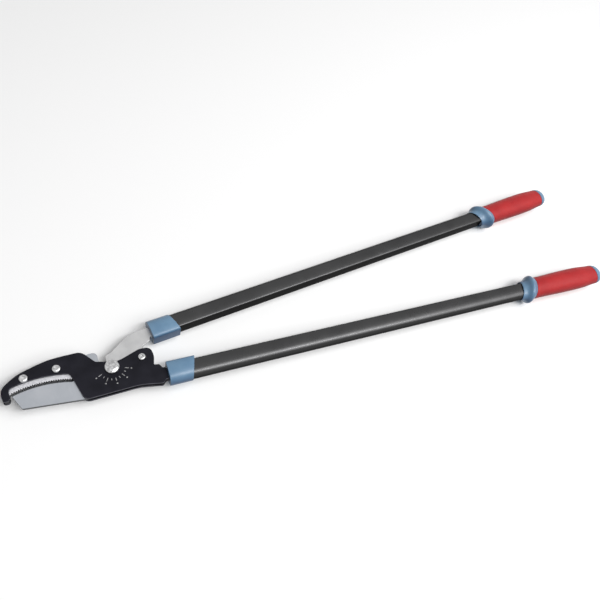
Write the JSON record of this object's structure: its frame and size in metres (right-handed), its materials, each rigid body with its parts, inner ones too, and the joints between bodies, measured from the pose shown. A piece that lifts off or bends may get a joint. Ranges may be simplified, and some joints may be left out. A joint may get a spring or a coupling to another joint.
{
  "type": "anvil lopper",
  "caption": "Long-handled anvil lopper lying closed: plated head with toothed anvil and blade, D-section tube handles, guarded soft grips.",
  "frame": {"origin": "on the pivot axis, at the flat end of the pivot bolt, in the plane that the closed lopper lies on", "axes": "+Z along the pivot axis, up from the surface; +X from the pivot along the bisector of the two handles, towards the grips; +Y towards the handle that moves"},
  "size_m": [0.9934, 0.2216, 0.042],
  "materials": {
    "black_steel": "satin black coating",
    "blade_steel": "fine ground",
    "lever_steel": "bright plated",
    "anvil_alloy": "cast",
    "zinc_steel": "zinc plated",
    "bronze": "turned",
    "black_rubber": "matte",
    "black_plastic": "matte",
    "black_paint": "semi-gloss black paint",
    "blue_plastic": "satin moulded",
    "red_rubber": "soft matte"
  },
  "bodies": {
    "anvil_side": {"front_plate": "black_steel", "rear_plate": "black_steel", "anvil_insert": "anvil_alloy", "lower_tang": "black_steel", "anvil_screw_1": "zinc_steel", "anvil_screw_2": "zinc_steel", "anvil_nut_1": "zinc_steel", "anvil_nut_2": "zinc_steel", "stop_bolt": "zinc_steel", "stop_sleeve": "zinc_steel", "stop_bumper": "black_rubber", "stop_nut": "zinc_steel", "tang_rivet_1": "zinc_steel", "tang_rivet_2": "zinc_steel", "pivot_bolt": "zinc_steel", "pivot_bush": "bronze", "pivot_washer": "zinc_steel", "pivot_nut": "zinc_steel", "lower_collar": "blue_plastic", "lower_tang_plug": "black_plastic", "lower_tube": "black_paint", "lower_grip_core": "blue_plastic", "lower_grip_sleeve": "red_rubber"},
    "blade_side": {"blade": "blade_steel", "lever": "lever_steel", "lap_rivet_1": "zinc_steel", "lap_rivet_2": "zinc_steel", "lap_rivet_3": "zinc_steel", "upper_collar": "blue_plastic", "upper_tang_plug": "black_plastic", "upper_tube": "black_paint", "upper_grip_core": "blue_plastic", "upper_grip_sleeve": "red_rubber"}
  },
  "joints": [
    {"name": "blade_pivot", "type": "hinge", "parent": "anvil_side", "child": "blade_side", "pos_m": [0, 0, 0.021], "axis": [0, 0, 1], "range_deg": [0, 38]}
  ]
}
